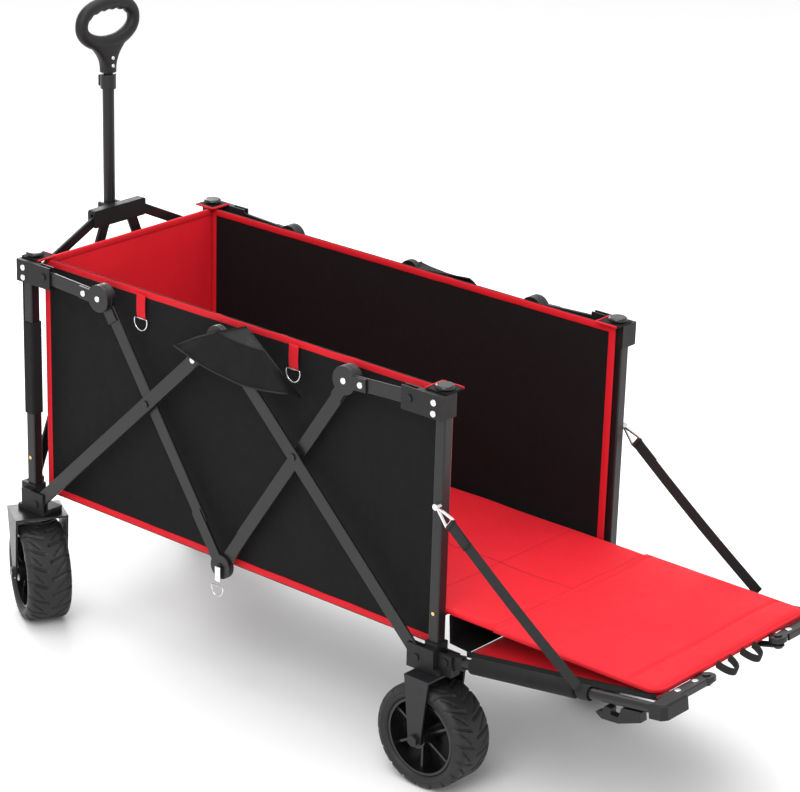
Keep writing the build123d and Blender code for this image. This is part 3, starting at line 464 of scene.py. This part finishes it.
# ------------------------------------------------------------------ floor and mats
MAT_END = X0 + 0.415
BRIDGE_END = HINGE.x + 0.068
BED_X = FRONT_X + 0.009


def round_corner(px, py, x, y, radius):
    """Pulls a point of a rectangle into its two rounded corners at the high-x end."""
    if radius and px > x[1] - radius and (py > y[1] - radius or py < y[0] + radius):
        cy = y[1] - radius if py > y[1] - radius else y[0] + radius
        dx, dy = px - (x[1] - radius), py - cy
        reach = (dx * dx + dy * dy) ** 0.5
        if reach > 0:
            share = max(abs(dx), abs(dy)) / reach
            return x[1] - radius + dx * share, cy + dy * share
    return px, py


def pad_mesh(
    name, x, y, z, mat, rounds=0.012, wave=0.0012, nu=60, nv=30, seams=(), open_sides="", corner=0.0
):
    """Thin stuffed pad: rounded edges but on the open sides, gentle waves, sewn lines across it."""
    def height(u, v):
        xx = x[0] + u * (x[1] - x[0])
        yy = y[0] + v * (y[1] - y[0])
        reach = {"a": xx - x[0], "b": x[1] - xx, "c": yy - y[0], "d": y[1] - yy}
        edge = min(reach[k] for k in reach if k not in open_sides)
        soft = min(1.0, max(0.0, edge / rounds)) ** 0.5
        h = wave * (sin(xx * 38 + 2 * yy) * 0.7 + 1.6 * noise.noise(Vector((xx * 9, yy * 11, 5))))
        for s in seams:
            h -= 0.0032 * exp(-(((xx - s) / 0.004) ** 2))
        return xx, yy, soft, h
    verts, faces = [], []
    row = nu + 1
    for j in range(nv + 1):
        for i in range(row):
            xx, yy, soft, h = height(i / nu, j / nv)
            xx, yy = round_corner(xx, yy, x, y, corner)
            verts.append((xx, yy, z[0] + (z[1] - z[0]) * (0.35 + 0.65 * soft) + (h - 0.0012) * soft))
    for j in range(nv + 1):
        for i in range(row):
            xx, yy, soft, h = height(i / nu, j / nv)
            xx, yy = round_corner(xx, yy, x, y, corner)
            verts.append((xx, yy, z[0]))
    back = row * (nv + 1)
    for j in range(nv):
        for i in range(nu):
            a = j * row + i
            faces.append((a, a + 1, a + row + 1, a + row))
            b = back + a
            faces.append((b, b + row, b + row + 1, b + 1))
    rim = edge_loop(nu, nv)
    for k, a in enumerate(rim):
        b = rim[(k + 1) % len(rim)]
        faces.append((a, back + a, back + b, b))
    return finish_mesh(name, verts, faces, [mat])


for side, tag in SIDES:
    body = f"front_{tag}"
    step = 0.0 if side < 0 else 0.0034
    inner = WALL_Y - 0.004
    ys = sorted((0.0, side * inner))

    def floor_at(u, v):
        return (BED_X + u * (REAR_X - BED_X - 0.002), ys[0] + v * (ys[1] - ys[0]), FLOOR_Z - 0.0015 - step)

    floor_half = sheet_mesh(f"floor_{tag}", 60, 16, floor_at, (0, 0, 1), CLOTH, BLACK, BLACK)
    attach(floor_half, body)
    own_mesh(floor_half)
    gap = 0.0002
    ys = sorted((side * gap, side * (inner - 0.003)))
    pad = pad_mesh(
        f"bed_mat_{tag}", (BED_X + 0.002, MAT_END), ys, (FLOOR_Z + 0.0004, FLOOR_Z + MAT_T), RED,
        nu=120, nv=30, seams=(X0 - 0.05,), open_sides="b" + ("d" if side < 0 else "c")
    )
    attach(pad, body)
    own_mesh(pad)
    bridge = pad_mesh(
        f"bridge_mat_{tag}", (MAT_END, BRIDGE_END), ys, (FLOOR_Z + 0.0004, FLOOR_Z + MAT_T), RED,
        nu=40, nv=30, open_sides="ab" + ("d" if side < 0 else "c")
    )
    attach(bridge, "rear_left" if side < 0 else "rear_right")
    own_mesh(bridge)

mat_low, mat_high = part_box("tailgate_mat")
TAIL_X = (BRIDGE_END, mat_high[0])
tail_mat = pad_mesh(
    "tail_mat", TAIL_X, (mat_low[1], mat_high[1]), (FLOOR_Z, FLOOR_Z + MAT_T), RED, nu=90, nv=90,
    wave=0.0014, seams=(BRIDGE_END + 0.010, TAIL_X[1] - 0.055), open_sides="a", corner=0.02
)
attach(tail_mat, "tail_left")
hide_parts("tailgate_mat")
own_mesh(tail_mat)

# piping round the tailgate mat
side_y = (mat_low[1] + 0.0025, mat_high[1] - 0.0025)
rim_path = line((TAIL_X[0], side_y[0], 0), (TAIL_X[1], side_y[0], 0), 60)[:-1]
rim_path += line((TAIL_X[1], side_y[0], 0), (TAIL_X[1], side_y[1], 0), 60)[:-1]
rim_path += line((TAIL_X[1], side_y[1], 0), (TAIL_X[0], side_y[1], 0), 60)
rim_path = [Vector((*round_corner(q.x, q.y, TAIL_X, side_y, 0.02), FLOOR_Z + 0.0035)) for q in rim_path]


def rim_out(k):
    ahead = rim_path[min(k + 1, len(rim_path) - 1)] - rim_path[max(k - 1, 0)]
    return ahead.cross(Vector((0, 0, 1)))


piping = strip("mat_piping", rim_path, (0, 0, 1), rim_out, 0.006, 0.006, THREAD, power=2, count=10)
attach(piping, "tail_left")
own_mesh(piping)


def panel_at(u, v):
    s = 0.016 + u * 0.368
    y = (v - 0.5) * 0.40
    return tail(s, y, 0.0040 + 0.0008 * sin(u * 9) * sin(pi * v))


def skirt_at(u, v):
    y = (v - 0.5) * 0.394
    drop = min(1.0, u / 0.55)
    back = max(0.0, (u - 0.55) / 0.45)
    return (REAR_X + 0.0016 + 0.003 * drop + 0.040 * back, y, FLOOR_Z - 0.0035 - 0.048 * drop - 0.003 * back)


skirt = sheet_mesh("tail_skirt", 20, 40, skirt_at, (0.72, 0, 0.69), 0.0016, BLACK, BLACK)
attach(skirt, "rear_left")
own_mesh(skirt)

panel = sheet_mesh("tail_panel", 40, 40, panel_at, TAIL_UP, 0.002, RED, BLACK)
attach(panel, "tail_left")
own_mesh(panel)
for side, tag in SIDES:
    path = [tail(0.016 + 0.0092 * k, side * 0.199, 0.0045) for k in range(41)]
    trim = strip(f"panel_trim_{tag}", path, TAIL_UP, (0, 1, 0), 0.010, 0.005, WEB)
    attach(trim, "tail_left")
    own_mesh(trim)
# two webbing pulls at the tailgate's end
for k, y in enumerate((-0.035, 0.030)):
    path = []
    for j in range(25):
        a = pi * j / 24
        path.append(Vector((
            TAIL_X[1] + 0.003 + 0.026 * sin(a),
            y + 0.016 * cos(a) * (1 if k else -1),
            FLOOR_Z + 0.001 - 0.010 * sin(a),
        )))
    pull = strip(
        f"pull_loop_{k}", path, (0.3, 0, 1), lambda j,
        p=path: (p[min(j + 1, 24)] - p[max(j - 1, 0)]).cross(Vector((0.3, 0, 1))), 0.014, 0.0022,
        WEB
    )
    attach(pull, "tail_left")
    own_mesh(pull)

# ------------------------------------------------------------------ straps
for side, tag in SIDES:
    web_low, web_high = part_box(f"strap_webbing_{tag}")
    y = (web_low[1] + web_high[1]) / 2
    pivot = Vector((X0 + HALF_X + 0.004, y, STRAP_PIVOT_Z))
    land = tail(STRAP_S, y, 0.0115)
    down = (land - pivot).normalized()
    across = Vector((0, 1, 0)).cross(down).normalized()
    start, end = pivot + down * 0.0375, land - down * 0.002
    path = [start.lerp(end, k / 60) - Vector((0, 0, 0.004 * sin(pi * k / 60))) for k in range(61)]
    web = strip(f"strap_{tag}", path, across, (0, 1, 0), 0.0205, 0.0019, WEB, power=8)
    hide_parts(f"strap_webbing_{tag}")
    fold = strip(
        f"strap_fold_{tag}", [p + Vector((0, side * 0.0021, 0)) for p in path[:9]], across,
        (0, 1, 0), 0.020, 0.0019, WEB, power=8
    )
    loop = []
    for k in range(20):
        a = 2 * pi * k / 20
        loop.append(start + down * (0.004 * cos(a)) + Vector((0, 0.0035 * sin(a) + side * 0.001, 0)))
    hem = strip(
        f"strap_loop_{tag}", loop, across, lambda j, p=loop, s=start: p[j] - s, 0.019, 0.0016, WEB,
        closed=True, power=8
    )
    for piece in (web, fold, hem):
        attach(piece, f"strap_{tag}")
    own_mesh(web)
    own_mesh(fold)
    # the strap's foot goes round the rail's sleeve
    foot = []
    for k in range(32):
        a = 2 * pi * k / 32
        foot.append(
            tail(STRAP_S, side * HALF_Y) + Vector((0, 0.0112 * cos(a), 0)) + TAIL_UP * (0.0112 * sin(a))
        )
    wrap = strip(
        f"strap_foot_{tag}", foot, TAIL_DIR, lambda j, p=foot,
        c=tail(STRAP_S, side * HALF_Y): p[j] - c, 0.020, 0.0020, WEB, closed=True, power=8
    )
    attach(wrap, f"tail_{tag}")


# ------------------------------------------------------------------ grip
GRIP_HALF_WIDTH = 0.0625
GRIP_HALF_HEIGHT = 0.0345


def make_grip():
    low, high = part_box("handle_grip")
    x = (low[0] + high[0]) / 2
    base, top = 0.953, high[2]
    verts, faces = [], []
    count, around = 96, 20
    mid = (base + 0.044 + top) / 2 + 0.006
    for k in range(count):
        a = 2 * pi * k / count
        c, s = cos(a), sin(a)
        yy = (abs(c) ** 0.86) * (1 if c > 0 else -1) * GRIP_HALF_WIDTH * (1 - 0.16 * max(0, -s) ** 2)
        zz = mid + (abs(s) ** 0.9) * (1 if s > 0 else -1) * (GRIP_HALF_HEIGHT if s > 0 else 0.036)
        out = Vector((0, c / GRIP_HALF_WIDTH, s / GRIP_HALF_HEIGHT)).normalized()
        fat = 0.0112 + 0.0012 * max(0, s) + 0.0022 * max(0, -s)
        for i in range(around):
            b = 2 * pi * i / around
            inner = max(0.0, -cos(b))
            finger = 0.0014 * cos(yy * 2 * pi / 0.021) * inner if s > 0.55 else 0.0
            r = fat - finger
            verts.append(
                Vector((x, yy, zz)) + out * (r * cos(b)) + Vector((1, 0, 0)) * (min(r, 0.0112) * sin(b))
            )
    for k in range(count):
        n = (k + 1) % count
        for i in range(around):
            j = (i + 1) % around
            faces.append((k * around + i, n * around + i, n * around + j, k * around + j))
    ring_obj = finish_mesh("grip_ring", verts, faces, [PLASTIC])
    verts, faces, rows = [], [], 22
    for k in range(rows + 1):
        t = k / rows
        z = base + 0.0005 + t * 0.054
        half_w = 0.0135 + 0.034 * t**2.2
        half_d = 0.0130 - 0.0025 * t
        for i in range(28):
            a = 2 * pi * i / 28
            c, s = cos(a), sin(a)
            verts.append((
                x + (abs(s) ** 0.7) * (1 if s > 0 else -1) * half_d,
                (abs(c) ** 0.7) * (1 if c > 0 else -1) * half_w,
                z - 0.010 * t * (1 - abs(c)) * 0.4,
            ))
    for k in range(rows):
        for i in range(28):
            j = (i + 1) % 28
            faces.append((k * 28 + i, k * 28 + j, (k + 1) * 28 + j, (k + 1) * 28 + i))
    faces.append(tuple(range(27, -1, -1)))
    faces.append(tuple(rows * 28 + i for i in range(28)))
    neck = finish_mesh("grip_neck", verts, faces, [PLASTIC])
    stem_path = line((x, 0, low[2]), (x, 0, base + 0.02), 30)
    stem = strip("grip_stem", stem_path, (1, 0, 0), (0, 1, 0), 0.0168, 0.0168, GREY, power=2, count=32)
    pieces = [ring_obj, neck, stem]
    for k, z in enumerate((base + 0.013, base + 0.027)):
        screw = []
        faces = []
        for r, dx in (
            (0.0036, 0.0), (0.0036, -0.0007), (0.0026, -0.0014), (0.0009, -0.0016),
            (0.0006, -0.0009)
        ):
            for i in range(20):
                a = 2 * pi * i / 20
                screw.append((x - 0.0126 + dx, r * cos(a), z + r * sin(a)))
        for m in range(4):
            for i in range(20):
                j = (i + 1) % 20
                faces.append((m * 20 + i, m * 20 + j, (m + 1) * 20 + j, (m + 1) * 20 + i))
        faces.append(tuple(80 + i for i in range(20)))
        faces.append(tuple(range(19, -1, -1)))
        front_screw = finish_mesh(f"grip_screw_{k}", screw, faces, [CHROME])
        back = [(2 * x - p[0], p[1], p[2]) for p in screw]
        pieces.append(front_screw)
        pieces.append(finish_mesh(
            f"grip_screw_back_{k}", back, [tuple(reversed(f)) for f in faces], [CHROME]
        ))
    for piece in pieces:
        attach(piece, "handle_grip")
    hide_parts("handle_grip")


make_grip()


# ------------------------------------------------------------------ tyres
def tyre(corner):
    low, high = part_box(f"tyre_{corner}")
    centre = (Vector(low) + Vector(high)) / 2
    yaw = {"front_left": -1, "front_right": 1}.get(corner, 0) * radians(30)
    radius, width, inner, count = 0.090, 0.080, 0.0660, 432
    half = width / 2
    profile = [
        (-half + 0.012, inner), (-half + 0.004, inner + 0.002), (-half + 0.0005, inner + 0.007),
        (-half, inner + 0.012)
    ]
    for k in range(7):
        a = pi / 2 * k / 6
        profile.append((-half + 0.012 * (1 - cos(a)), radius - 0.012 * (1 - sin(a))))
    flat = 22
    profile += [(-half + 0.012 + (width - 0.024) * k / flat, radius) for k in range(1, flat)]
    profile += [(-y, r) for y, r in reversed(profile[:11])]
    verts, faces = [], []
    n = len(profile)
    for i in range(count):
        theta = 2 * pi * i / count
        for y, r in profile:
            depth = 0.0
            if r > radius - 0.0105:
                t = abs(y) / half
                lead = theta * 18 / (2 * pi) + (0.5 if y > 0 else 0.0) + 0.55 * t**1.4
                cut = abs(lead % 1 - 0.5)
                branch = abs((lead + 0.9 * t) % 1 - 0.5)
                if cut < 0.075 and t > 0.10:
                    depth = 0.0030
                if branch < 0.05 and 0.3 < t < 0.85:
                    depth = 0.0024
                if t > 0.97:
                    depth *= 0.4
            side_ring = 0.0008 if abs(y) > half - 0.003 and (r < inner + 0.0125) else 0.0
            rr = r - depth
            verts.append((rr * sin(theta), y * (1 + side_ring), rr * cos(theta)))
    for i in range(count):
        j = (i + 1) % count
        for k in range(n):
            m = (k + 1) % n
            faces.append((i * n + k, i * n + m, j * n + m, j * n + k))
    turn = Matrix.Rotation(yaw, 4, "Z")
    place = Matrix.Translation(centre) @ turn
    obj = finish_mesh(f"tread_{corner}", [place @ Vector(v) for v in verts], faces, [RUBBER])
    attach(obj, f"wheel_{CORNERS[corner]}")
    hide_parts(f"tyre_{corner}")


for corner in CORNERS:
    tyre(corner)


# ------------------------------------------------------------------ finishes on the CAD nodes
def islands(obj):
    """Loose parts of a mesh: lists of polygon numbers with their box."""
    mesh = obj.data
    parent = list(range(len(mesh.vertices)))

    def root(a):
        while parent[a] != a:
            parent[a] = parent[parent[a]]
            a = parent[a]
        return a

    spots = {}
    joins = [tuple(e.vertices) for e in mesh.edges]
    for v in mesh.vertices:
        key = tuple(round(c * 1e5) for c in v.co)
        joins.append((spots.setdefault(key, v.index), v.index))
    for one, two in joins:
        a, b = root(one), root(two)
        if a != b:
            parent[a] = b
    groups = {}
    for p in mesh.polygons:
        groups.setdefault(root(p.vertices[0]), []).append(p.index)
    result = []
    for polys in groups.values():
        pts = [mesh.vertices[v].co for p in polys for v in mesh.polygons[p].vertices]
        low = Vector([min(p[i] for p in pts) for i in range(3)])
        high = Vector([max(p[i] for p in pts) for i in range(3)])
        result.append((polys, low, high))
    return result


def paint(node, base, small=CHROME, choose=None):
    obj = nodes[node]
    mesh = obj.data
    mats = [base]
    index = {base.name: 0}
    mesh.materials.clear()
    mesh.materials.append(base)
    for polys, low, high in islands(obj):
        size = high - low
        mat = choose(low, high, size) if choose else None
        if mat is None:
            mat = small if max(size) < 0.042 and sorted(size)[1] < 0.020 else base
        if mat.name not in index:
            index[mat.name] = len(mats)
            mats.append(mat)
            mesh.materials.append(mat)
        for p in polys:
            mesh.polygons[p].material_index = index[mat.name]


def post_choice(low, high, size):
    if 0.1 < size.z < 0.3:
        return FOAM
    if size.z > 0.3:
        return GREY
    return BRASS if low.z < 0.31 else CHROME


def head_choice(low, high, size):
    if low.z > 0.671 and size.z > 0.005:
        return GLOSS
    if low.z > 0.671:
        return BLACK
    if max(size) > 0.045:
        return PLASTIC
    return CHROME


def rail_choice(low, high, size):
    if 0.15 < size.x < 0.23:
        return FOAM
    if size.x > 0.3:
        return GREY
    return PLASTIC


def link_choice(low, high, size):
    big = max(size)
    if big < 0.032:
        return CHROME
    return GREY if big > 0.15 else PLASTIC


for name in nodes:
    if name.startswith("post_"):
        paint(name, GREY, choose=post_choice)
    elif name.startswith("head_"):
        paint(name, PLASTIC, choose=head_choice)
    elif name.startswith("foot_"):
        paint(name, PLASTIC)
    elif name.startswith(("long_bar", "cross_bar", "rim_bar", "front_", "tailgate_bar")):
        paint(name, GREY, choose=link_choice)
    elif name.startswith("tailgate_arm"):
        paint(name, GREY)
    elif name.startswith("tailgate_rail"):
        paint(name, GREY, choose=rail_choice)
    elif name.startswith("fork_"):
        paint(
            name, GREY, choose=lambda low, high,
            size: CHROME if max(size) < 0.125 and size.z < 0.03 else GREY
        )
    elif name.startswith("strap_bail"):
        paint(name, CHROME)
    elif name == "handle_tube":
        paint(name, GREY, choose=lambda low, high, size: GREY if size.z > 0.1 else PLASTIC)
    elif name == "yoke":
        paint(name, PLASTIC)
    elif name.startswith(("rim_", "tailgate_hook")):
        paint(name, GLOSS if name.startswith("rim_") else PLASTIC, small=GLOSS)

# ------------------------------------------------------------------ floor, light and camera
ground = finish_mesh("ground", [(-30, -30, 0), (30, -30, 0), (30, 30, 0), (-30, 30, 0)], [(0, 1, 2, 3)],
                     [material("pale_ground", (0.9, 0.9, 0.9), 0.7, 0.0, [("noise", 40, 0.02, 0.001)], mottle=0.01)], False)

world = bpy.data.worlds.new("studio")
bpy.context.scene.world = world
world.use_nodes = True
world.node_tree.nodes["Background"].inputs[0].default_value = (1, 1, 1, 1)
world.node_tree.nodes["Background"].inputs[1].default_value = 1.0
bpy.context.scene.view_settings.view_transform = "Standard"
bpy.context.scene.view_settings.look = "None"


def area(name, at, aim, size, power):
    data = bpy.data.lights.new(name, "AREA")
    data.shape = "RECTANGLE"
    data.size, data.size_y = size
    data.energy = power
    obj = bpy.data.objects.new(name, data)
    obj.location = at
    obj.rotation_euler = (Vector(aim) - Vector(at)).to_track_quat("-Z", "Y").to_euler()
    bpy.context.scene.collection.objects.link(obj)


area("key", (1.2, -2.6, 3.2), (0, 0, 0.3), (2.2, 2.2), 75)
area("top", (-0.4, 0.4, 3.6), (0, 0, 0.3), (3.0, 3.0), 70)
area("rim", (-3.0, 1.5, 2.0), (0, 0, 0.4), (1.6, 1.6), 45)

camera_data = bpy.data.cameras.new("camera")
camera = bpy.data.objects.new("camera", camera_data)
bpy.context.scene.collection.objects.link(camera)
bpy.context.scene.camera = camera
camera_data.sensor_width = 36.0
camera_data.lens = 131.3
camera_data.shift_x = 0.106
camera_data.shift_y = 0.087
camera_data.clip_end = 200
camera.location = Vector((3.1176 + X0, -3.4822, 2.2582))
look = (Vector((X0, 0, 0.350)) - camera.location).to_track_quat("-Z", "Y").to_matrix().to_4x4()
roll = Matrix.Rotation(radians(1.06), 4, "Z")
camera.rotation_euler = (look @ roll).to_euler()
